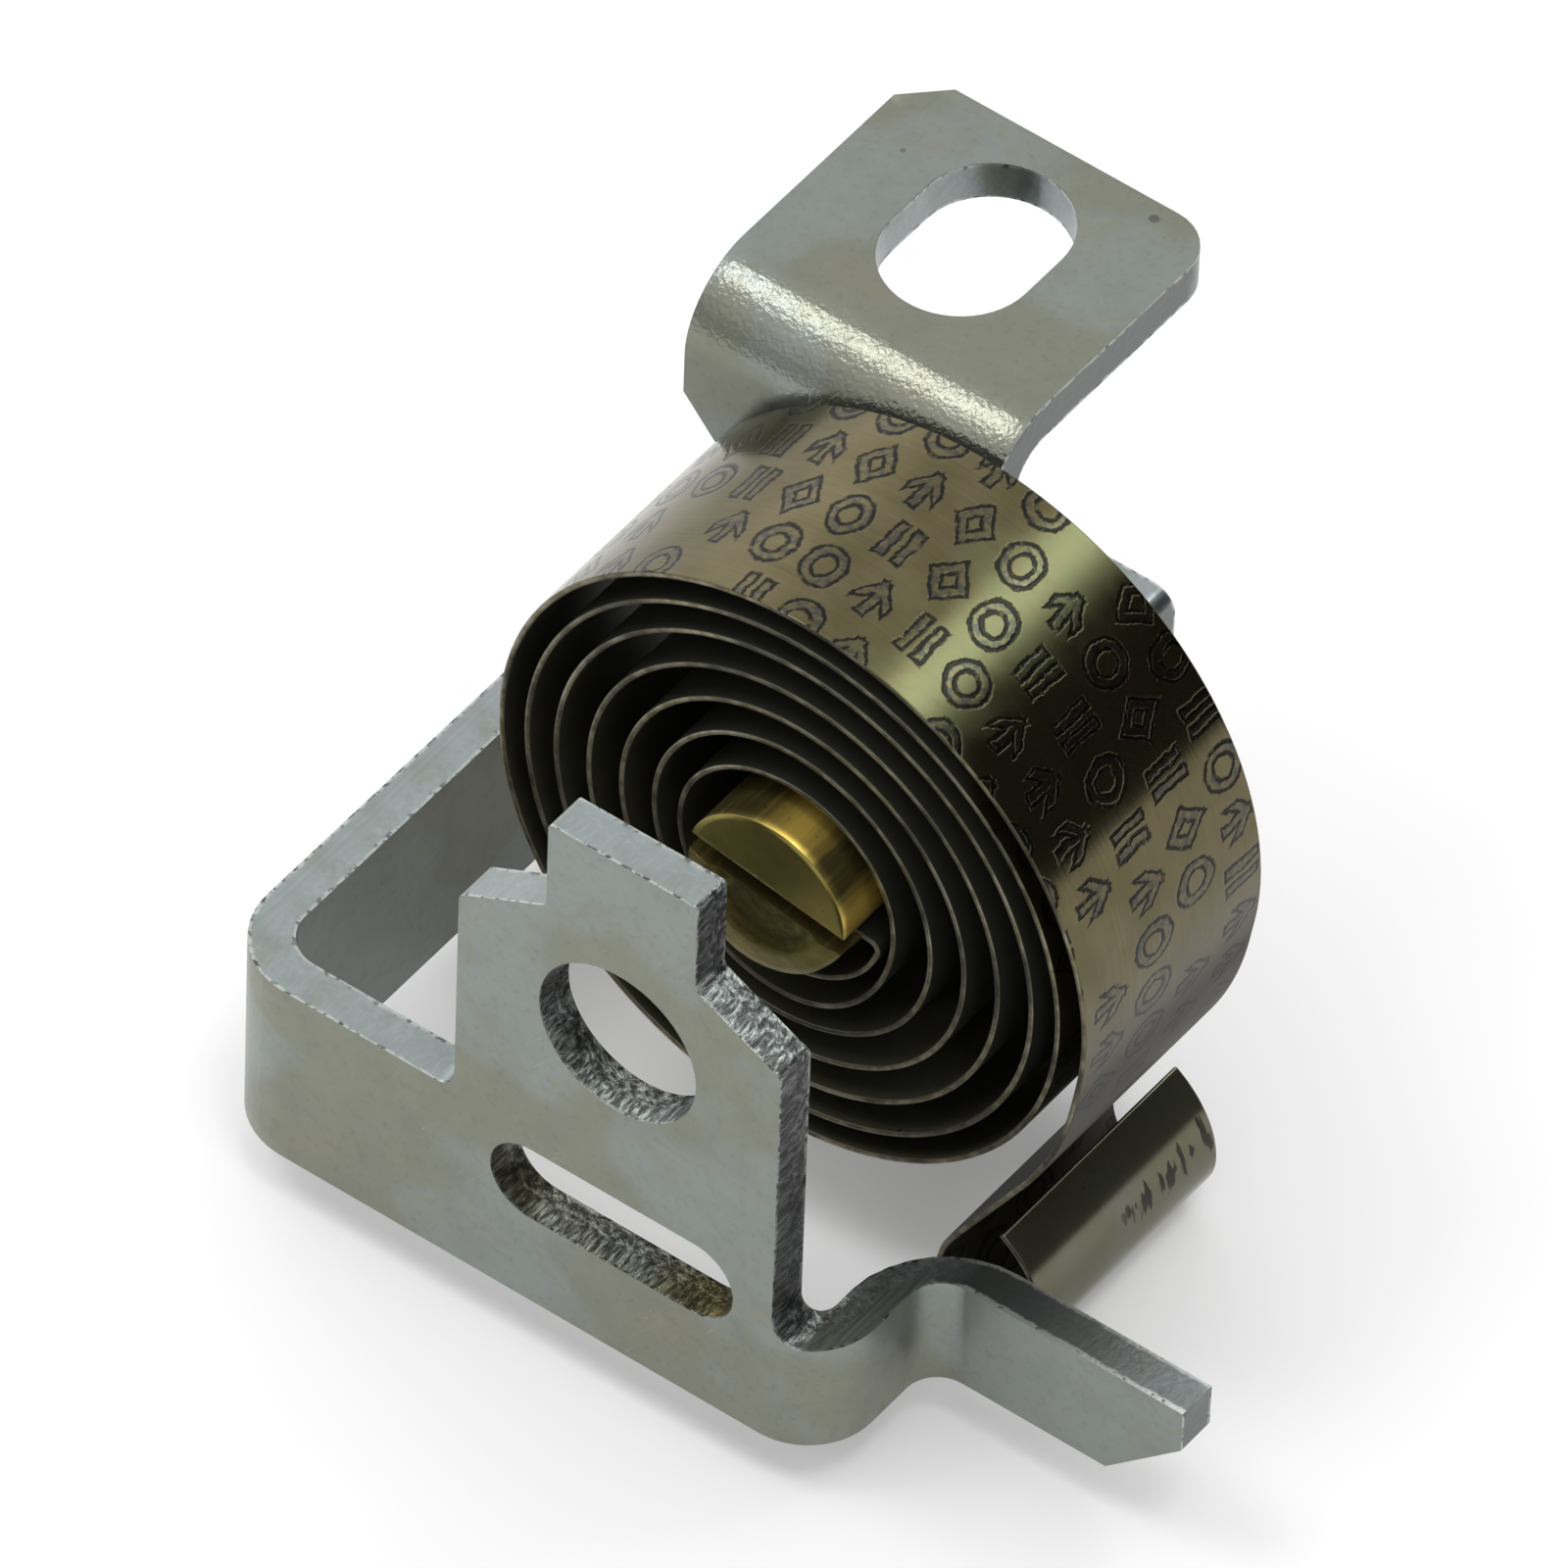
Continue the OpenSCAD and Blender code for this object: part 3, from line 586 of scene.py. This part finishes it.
# Marks how torn and gilded the cut edges are, how much painted light each gets by facing up, the painted
# shade along the tail's top, and where the burr is painted as a bright highlight
def paintCuts(s, mesh):
    torn, upward, paintedBurrHighlight, gilded = (mesh.loops.layers.float.new(name)
                                    for name in ("torn", "upward", "paintedBurrHighlight", "gilded"))
    alike = math.cos(math.radians(s["sharp"]))
    for face in mesh.faces:
        spot = toLocal @ face.calc_center_median()
        inSlot = abs(spot.z + s["slotDrop"]) < s["slotHalf"] and abs(spot.x) < s["slotReach"]
        pierced = inSlot or math.hypot(spot.x, spot.z) < s["holeR"]
        onTail = spot.z < s["tailTop"] and spot.x > s["filletFrom"]
        onRim = onBoltRim(face.calc_center_median(), s, 0)
        rough = (pierced or face.normal.x > s["tornFacing"]) and spot.y < s["frontDepth"]
        for loop in face.loops:
            near = [f.normal for f in loop.vert.link_faces if f.material_index == face.material_index]
            near = [n for n in near if n.dot(face.normal) > alike] or [face.normal]
            # painted light: each cut face is lit by how far it faces up, the rolled bolt rim at a fixed level
            facing = s["rimFacing"] if onRim else max(0, sum(n.z for n in near) / len(near))
            # painted shade: along the tail's top beyond the fillet the cut faces are coloured as if they
            # faced less upward
            past = (toLocal @ loop.vert.co).x - s["filletTo"]
            outOf = eased(past / s["filletFade"] + 0.5)
            shaded = outOf * (1 - eased((past - s["filletFade"] / 2) / (s["shadeTo"] - s["filletTo"])))
            loop[upward] = facing * (1 - s["shadeDeep"] * shaded) if onTail else facing
            inFillet = s["filletTorn"] * (1 - outOf) if onTail else 0
            loop[torn] = s["torn"] if rough else max(s["tornLeast"], inFillet)
            # painted highlight: the burr line along the tail's top edge beyond the fillet
            loop[paintedBurrHighlight] = outOf if onTail and face.normal.z > 0 else 0
            rightward = eased((past + s["filletTo"]) / s["slotReach"])
            loop[gilded] = s["gildLeast"] + s["gildMore"] * rightward if inSlot else 0


def makeBracket(s):
    mesh = bmesh.new()
    mesh.from_mesh(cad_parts["bracket"].data)
    bmesh.ops.remove_doubles(mesh, verts=mesh.verts, dist=s["weld"] * mm)
    bmesh.ops.dissolve_limit(mesh, angle_limit=math.radians(s["flat"]), verts=mesh.verts, edges=mesh.edges)
    skins = smoothRegions(mesh, s["sharp"])[:2]
    skins.sort(key=lambda faces: min(f.calc_center_median().y for f in faces))
    outer, inner = skinTree(skins[0]), skinTree(skins[1])
    for axis in range(3):
        for step in range(s["cuts"]):
            spot, normal = Vector(cadLow), Vector((0, 0, 0))
            spot[axis] += (cadHigh[axis] - cadLow[axis]) * (step + 0.5) / s["cuts"]
            normal[axis] = 1
            geom = list(mesh.verts) + list(mesh.edges) + list(mesh.faces)
            bmesh.ops.bisect_plane(mesh, geom=geom, plane_co=spot, plane_no=normal, dist=s["cutNear"] * mm)
    rolledRim = [e for e in sharpEdges(mesh, s["sharp"])
                 if all(onBoltRim(v.co, s, s["rimFrom"] * mm) for v in e.verts)]
    bmesh.ops.bevel(mesh, geom=rolledRim, offset=s["rimRoll"] * mm, affect="EDGES", segments=s["rimSteps"],
                    profile=0.5, material=-1, clamp_overlap=True)
    bmesh.ops.bevel(mesh, geom=sharpEdges(mesh, s["sharp"]), offset=s["break"] * mm, affect="EDGES",
                    segments=s["breakSteps"], profile=0.5, material=-1, clamp_overlap=True)
    mesh.normal_update()
    paintSkins(s, mesh, outer, inner)
    paintCuts(s, mesh)
    bmesh.ops.recalc_face_normals(mesh, faces=mesh.faces)
    piece = addPiece(mesh, "bracketSheet", [zincSkin, zincCut], "bracket")
    evenNormals(piece)


makeBracket(sheet)
print("bracket made")

# The strip's middle line, in millimetres: tang, wrap, spiral, leg, rolled eye and flare
coil = {"stripT": 0.28, "tangTilt": -9.5, "tangBack": 3.8, "tangBendR": 0.42, "slotW": 1.2, "slotClear": 0.01,
        "wrapR": 5.35, "wrapPitch": 0.55, "turnPitch": 1.79, "turnR": 4.46, "stepBulge": 0.5,
        "stepFrom": 0.95, "stepTo": 1.25, "stepMid": 1.23, "stepWidth": 0.12, "closeFrom": 5,
        "outerClose": 0.39, "oval": 0.15, "innerShift": -0.45, "outerShift": -0.36, "rise": -0.15,
        "turns": 7.028, "leaveOver": 1 / 60, "legUpper": 1.4, "legBend": 22.8, "legBendR": 18,
        "legLower": 6.75, "leadR": 4.5, "eyeR": 2.93, "flareLength": 5.1, "flareTurn": 57, "turnSteps": 120,
        "bendSteps": 16, "upperSteps": 2, "lowerSteps": 4, "slitBreak": 0.08, "slitSteps": 2, "slitSharp": 60}


def spiralPoint(c, turn, firstTurn):
    share = eased((turn - c["stepFrom"]) / (c["stepTo"] - c["stepFrom"]))
    inner = c["wrapR"] + c["wrapPitch"] * (turn - firstTurn)
    closed = c["outerClose"] * max(0, turn - c["closeFrom"])
    later = c["turnR"] + c["turnPitch"] * turn - closed - c["oval"] * math.cos(4 * math.pi * turn)
    bulge = c["stepBulge"] * math.exp(-((turn - c["stepMid"]) / c["stepWidth"]) ** 2)
    along = (turn - firstTurn) / (c["turns"] - firstTurn)
    middle = Vector((c["innerShift"] * (1 - along) + c["outerShift"] * along, c["rise"]))
    return middle + heading(-360 * turn) * (inner * (1 - share) + later * share + bulge)


# Goes on from the path's end along a heading and turns evenly to the left
def goOn(path, start, length, turn, steps):
    begin = path[-1]
    for i in range(1, steps + 1):
        half = math.radians(turn * i / steps) / 2
        chord = math.sin(half) / half if half else 1
        path.append(begin + heading(start + math.degrees(half)) * (length * i / steps * chord))


def arcLength(radius, turn):
    return radius * math.radians(abs(turn))


def stripPath(c):
    run, down = heading(c["tangTilt"]), heading(c["tangTilt"] - 90)
    drop = down * (c["slotW"] / 2 - c["stripT"] / 2 - c["slotClear"])
    wrapMiddle = Vector((c["innerShift"], c["rise"]))
    aside = drop + down * c["tangBendR"] - wrapMiddle
    reach = c["wrapR"] - c["tangBendR"]
    bendAt = math.sqrt(aside.dot(run) ** 2 - aside.dot(aside) + reach ** 2) - aside.dot(run)
    bendMiddle = drop + down * c["tangBendR"] + run * bendAt
    toBend = bendMiddle - wrapMiddle
    wrapAngle = math.degrees(math.atan2(toBend.y, toBend.x))
    firstTurn = -wrapAngle / 360
    path = [drop - run * c["tangBack"], drop + run * bendAt]
    sweep = wrapAngle - c["tangTilt"] - 90
    goOn(path, c["tangTilt"], arcLength(c["tangBendR"], sweep), sweep, c["bendSteps"])
    steps = math.ceil((c["turns"] - firstTurn) * c["turnSteps"])
    for i in range(1, steps + 1):
        path.append(spiralPoint(c, firstTurn + (c["turns"] - firstTurn) * i / steps, firstTurn))
    turnsEnd = len(path) - 1
    before, after = (spiralPoint(c, c["turns"] + way * c["leaveOver"], firstTurn) for way in (-1, 1))
    leave = after - before
    upper = math.degrees(math.atan2(leave.y, leave.x))
    lower = upper - c["legBend"]
    goOn(path, upper, c["legUpper"], 0, c["upperSteps"])
    goOn(path, upper, arcLength(c["legBendR"], c["legBend"]), -c["legBend"], c["bendSteps"])
    goOn(path, lower, c["legLower"], 0, c["lowerSteps"])
    goOn(path, lower, arcLength(c["leadR"], -90 - lower), -90 - lower, c["bendSteps"])
    goOn(path, -90, arcLength(c["eyeR"] - c["stripT"] / 2, 180), 180, 3 * c["bendSteps"])
    goOn(path, 90, c["flareLength"], c["flareTurn"], 2 * c["bendSteps"])
    return path, turnsEnd


def ribbon(path, turnsEnd, width):
    mesh = bmesh.new()
    flat = mesh.loops.layers.uv.new("strip")
    ends = [mesh.verts.new(toFrame @ Vector((path[0].x, y, path[0].y))) for y in (0, width)]
    edge = mesh.edges.new(ends)
    length = -sum((here - before).length for before, here in zip(path[:turnsEnd], path[1:turnsEnd + 1]))
    for before, here in zip(path, path[1:]):
        old = set(edge.verts)
        step = here - before
        grown = bmesh.ops.extrude_edge_only(mesh, edges=[edge])["geom"]
        fresh = [g for g in grown if isinstance(g, bmesh.types.BMVert)]
        bmesh.ops.translate(mesh, verts=fresh, vec=Vector((step.x, 0, step.y)) * mm)
        edge = next(g for g in grown if isinstance(g, bmesh.types.BMEdge) and set(g.verts) == set(fresh))
        for loop in edge.link_faces[0].loops:
            along = length if loop.vert in old else length + step.length
            loop[flat].uv = (along * mm, loop.vert.co.y - coilLow.y)
        length += step.length
    return mesh


# Turns the ribbon so that its face side looks outward on the turns
def faceOutward(mesh):
    mesh.normal_update()
    outer = max(mesh.faces, key=lambda f: f.calc_center_median().z)
    if outer.normal.z < 0:
        bmesh.ops.reverse_faces(mesh, faces=mesh.faces)


def makeCoil(c):
    mesh = ribbon(*stripPath(c), (coilHigh.y - coilLow.y) / mm)
    faceOutward(mesh)
    piece = addPiece(mesh, "bimetalStrip", [bimetalFace, bimetalBack, bimetalRim], "bimetal_coil")
    thick = piece.modifiers.new("thickness", "SOLIDIFY")
    thick.thickness = c["stripT"] * mm
    thick.offset = 0
    thick.use_even_offset = True
    thick.material_offset = 1
    thick.material_offset_rim = 2
    rounded = piece.modifiers.new("slitEdges", "BEVEL")
    rounded.width = c["slitBreak"] * mm
    rounded.segments = c["slitSteps"]
    rounded.limit_method = "ANGLE"
    rounded.angle_limit = math.radians(c["slitSharp"])
    evenNormals(piece)


makeCoil(coil)
print("coil made")

# The brass post: two lugs beside the slot, a body behind them and a peened head
post = {"bodyR": 4.23, "front": 1.49, "break": 0.04, "breakSteps": 2, "sharp": 50, "slotEnd": 13.0,
        "slotW": coil["slotW"], "tilt": coil["tangTilt"], "rear": 13.68, "sheet": 2.1, "tenonR": 2.5,
        "headR": 3.5, "headH": 1.1, "domeFrom": 0.35, "domeSteps": 8, "rings": 15, "steps": 96,
        "wallAt": [-1.0, -0.6, -0.2, 0.2, 0.8, 2.0, 6.0], "weld": 0.0005, "cutNear": 0.0001, "slack": 0.001,
        "struckDeep": 0.16, "struckLeast": 0.45, "ridge": 0.72, "ridgeOver": 0.12, "lip": 0.05,
        "lipWide": 0.07, "drop": 0.12, "dropFrom": 0.8, "swellTo": 0.4, "swellOver": 1.2, "bulgeAt": -114,
        "bulge": 0.66, "bulgeWide": 40, "dentAt": -38, "dent": 0.14, "dentWide": 18, "barrelFacing": 0.5,
        "paintedHighlightAt": {76: (16, 1.0), 12: (13, 0.8)}}  # angle: width in degrees, amount


def humped(value, middle, wide):
    return math.exp(-((value - middle) / wide) ** 2)


def spun(p, profile):
    mesh = bmesh.new()
    line = [mesh.verts.new((r, y, 0)) for r, y in profile]
    edges = [mesh.edges.new(pair) for pair in zip(line, line[1:])]
    bmesh.ops.spin(mesh, geom=line + edges, cent=(0, 0, 0), axis=(0, 1, 0), dvec=(0, 0, 0),
                   angle=2 * math.pi, steps=p["steps"], use_merge=True)
    bmesh.ops.remove_doubles(mesh, verts=mesh.verts, dist=p["weld"])
    return mesh


def cutAway(p, mesh, point, normal):
    geom = list(mesh.verts) + list(mesh.edges) + list(mesh.faces)
    bmesh.ops.bisect_plane(mesh, geom=geom, plane_co=point, plane_no=normal, clear_inner=True,
                           dist=p["cutNear"])
    rim = [e for e in mesh.edges if e.is_boundary]
    bmesh.ops.contextual_create(mesh, geom=rim)


# The end sinks within a ridge and slopes off at its edge, and the barrel behind it swells
def strike(p, mesh, struck):
    for v in mesh.verts:
        radius = math.hypot(v.co.x, v.co.z)
        angle = math.degrees(math.atan2(v.co.z, v.co.x))
        near = eased((p["swellTo"] - v.co.y) / p["swellOver"])
        share = radius / p["bodyR"]
        swell = p["bulge"] * humped(angle, p["bulgeAt"], p["bulgeWide"])
        swell -= p["dent"] * humped(angle, p["dentAt"], p["dentWide"])
        inside = eased((p["ridge"] - share) / p["ridgeOver"])
        if v.co.y < p["break"] - p["front"] + p["slack"]:
            lip = p["lip"] * humped(share, p["ridge"], p["lipWide"])
            drop = p["drop"] * eased((share - p["dropFrom"]) / (1 - p["dropFrom"]))
            v.co.y += p["struckDeep"] * inside - lip + drop
            v[struck] = max(inside, p["struckLeast"])
        grow = 1 + near * swell / p["bodyR"] * share ** 2
        v.co.x *= grow
        v.co.z *= grow


def makeLug(p, side):
    rings = [(i / p["rings"] * (p["bodyR"] - p["break"]), -p["front"]) for i in range(p["rings"] + 1)]
    wall = [-p["front"] + p["break"]] + p["wallAt"] + [p["slotEnd"]]
    mesh = spun(p, rings + [(p["bodyR"], y) for y in wall] + [(0, p["slotEnd"])])
    struck = mesh.verts.layers.float.new("struck")
    away = heading(p["tilt"] + 90 * side)
    normal = Vector((away.x, 0, away.y))
    if side < 0:
        strike(p, mesh, struck)
    cutAway(p, mesh, normal * (p["slotW"] / 2), normal)
    return mesh


def makePost(p):
    behind = p["rear"] + p["sheet"]
    dome = []
    for step in range(p["domeSteps"] + 1):
        angle = step * math.pi / (2 * p["domeSteps"])
        height = p["headH"] * (p["domeFrom"] + (1 - p["domeFrom"]) * math.sin(angle))
        dome.append((p["headR"] * math.cos(angle), behind + height))
    whole = spun(p, [(0, p["slotEnd"]), (p["bodyR"], p["slotEnd"]), (p["bodyR"], p["rear"]),
                     (p["tenonR"], p["rear"]), (p["tenonR"], behind), (p["headR"], behind)] + dome)
    whole.verts.layers.float.new("struck")
    for side in (1, -1):
        lug = makeLug(p, side)
        data = bpy.data.meshes.new("lug")
        lug.to_mesh(data)
        lug.free()
        whole.from_mesh(data)
        bpy.data.meshes.remove(data)
    bmesh.ops.recalc_face_normals(whole, faces=whole.faces)
    bmesh.ops.bevel(whole, geom=sharpEdges(whole, p["sharp"]), offset=p["break"], affect="EDGES",
                    segments=p["breakSteps"], profile=0.5, material=-1, clamp_overlap=True)
    bmesh.ops.transform(whole, matrix=toFrame @ Matrix.Translation(postOffset), verts=whole.verts)
    bmesh.ops.recalc_face_normals(whole, faces=whole.faces)
    # painted highlight: how much of the barrel's bright colour each angle round it gets
    paintedHighlight = whole.verts.layers.float.new("paintedHighlight")
    for v in whole.verts:
        spot = toLocal @ v.co - postOffset
        angle = math.degrees(math.atan2(spot.z, spot.x))
        v[paintedHighlight] = sum(much * humped(angle, at, wide) for at, (wide, much) in p["paintedHighlightAt"].items())
    barrel = whole.faces.layers.float.new("barrel")
    for face in whole.faces:
        face[barrel] = float(abs(face.normal.y) < p["barrelFacing"])
    piece = addPiece(whole, "brassPost", [brassPost], "coil_post")
    evenNormals(piece)


makePost(post)
print("post made")

# Camera as fitted to the photograph, about the front hole's axis
view = {"azimuth": 35.463, "elevation": 46.875, "roll": 2.172, "away": 1238.24, "aside": -0.2994,
        "above": 4.0495, "wide": 67.52, "sensor": 36, "clip": 10}


def addCamera(v):
    turn, rise, roll = (math.radians(v[k]) for k in ("azimuth", "elevation", "roll"))
    back = Vector((math.sin(turn) * math.cos(rise), -math.cos(turn) * math.cos(rise), math.sin(rise)))
    level = Vector((math.cos(turn), math.sin(turn), 0))
    upright = back.cross(level)
    right = level * math.cos(roll) + upright * math.sin(roll)
    up = upright * math.cos(roll) - level * math.sin(roll)
    target = axisPoint + (right * v["aside"] + up * v["above"]) * mm
    data = bpy.data.cameras.new("camera")
    data.sensor_width = v["sensor"]
    data.lens = v["sensor"] * v["away"] / v["wide"]
    data.clip_start = v["clip"] * mm
    camera = bpy.data.objects.new("camera", data)
    camera.matrix_world = Matrix.Translation(target + back * v["away"] * mm) @ Matrix(
        (right, up, back)).transposed().to_4x4()
    bpy.context.scene.collection.objects.link(camera)
    bpy.context.scene.camera = camera


addCamera(view)

# Pale floor under the lowest point, a soft dome with four lamps and a dark corner behind on the right
studio = {"floorSize": 6.0, "floorGap": 0.0001, "floor": 0.93, "glow": 0.2, "top": 1.05, "low": 0.42,
          "lowTo": 0.05, "topFrom": 0.6,
          "darkSide": (0.75, 0.56, 0.35), "darkFull": 26, "darkEdge": 36,
          "lamps": [{"toward": (-0.4, -0.25, 0.88), "full": 6, "edge": 12, "level": 5.6},
                    {"toward": (0.22, 0.557, 0.8), "full": 4, "edge": 9, "level": 4.4},
                    {"toward": (0.3, -0.15, 0.94), "full": 4, "edge": 9, "level": 9.0},
                    {"toward": (-0.83, 0.557, 0.15), "full": 12, "edge": 40, "level": 0.8}]}


def addFloor(s):
    mesh = bmesh.new()
    bmesh.ops.create_grid(mesh, x_segments=1, y_segments=1, size=s["floorSize"] / 2)
    bmesh.ops.translate(mesh, verts=mesh.verts, vec=(axisPoint.x, axisPoint.y, cadLow.z - s["floorGap"]))
    data = bpy.data.meshes.new("floor")
    mesh.to_mesh(data)
    mesh.free()
    material, tree, shader = newMaterial("floorPaint")
    shader["Roughness"].default_value = 0.9
    shader["Specular IOR Level"].default_value = 0.0
    ray = addNode(tree, "ShaderNodeLightPath").outputs
    seen = calc(tree, "MAXIMUM", ray["Is Camera Ray"], ray["Is Glossy Ray"])
    seen = calc(tree, "MAXIMUM", seen, ray["Is Transmission Ray"])
    tree.links.new(calc(tree, "MULTIPLY", seen, s["glow"]), shader["Emission Strength"])
    shade = mixValues(tree, seen, s["floor"], s["floor"] * (1 - s["glow"]))
    tree.links.new(addNode(tree, "ShaderNodeCombineColor", {0: shade, 1: shade, 2: shade}).outputs[0],
                   shader["Base Color"])
    shader["Emission Color"].default_value = grey(1)
    data.materials.append(material)
    floor = bpy.data.objects.new("floor", data)
    bpy.context.scene.collection.objects.link(floor)


def addWorld(s):
    world = bpy.data.worlds.new("studio")
    bpy.context.scene.world = world
    world.use_nodes = True
    tree = world.node_tree
    tree.nodes.clear()
    toSky = addNode(tree, "ShaderNodeTexCoord").outputs["Generated"]
    height = addNode(tree, "ShaderNodeSeparateXYZ", {0: toSky}).outputs[2]

    def within(toward, full, edge):
        inputs = {0: toSky, 1: Vector(toward).normalized()}
        facing = addNode(tree, "ShaderNodeVectorMath", inputs, operation="DOT_PRODUCT").outputs["Value"]
        return between(tree, facing, low=math.cos(math.radians(edge)), high=math.cos(math.radians(full)))

    level = mixValues(tree, between(tree, height, low=s["lowTo"], high=s["topFrom"]), s["low"], s["top"])
    dark = within(s["darkSide"], s["darkFull"], s["darkEdge"])
    level = calc(tree, "MULTIPLY", level, flipped(tree, dark))
    for lamp in s["lamps"]:
        lit = within(lamp["toward"], lamp["full"], lamp["edge"])
        level = calc(tree, "MULTIPLY_ADD", lit, lamp["level"], level)
    light = addNode(tree, "ShaderNodeBackground", {"Color": grey(1), "Strength": level})
    out = addNode(tree, "ShaderNodeOutputWorld")
    tree.links.new(light.outputs[0], out.inputs[0])


addFloor(studio)
addWorld(studio)
bpy.context.scene.view_settings.view_transform = "Standard"
print("stage made")
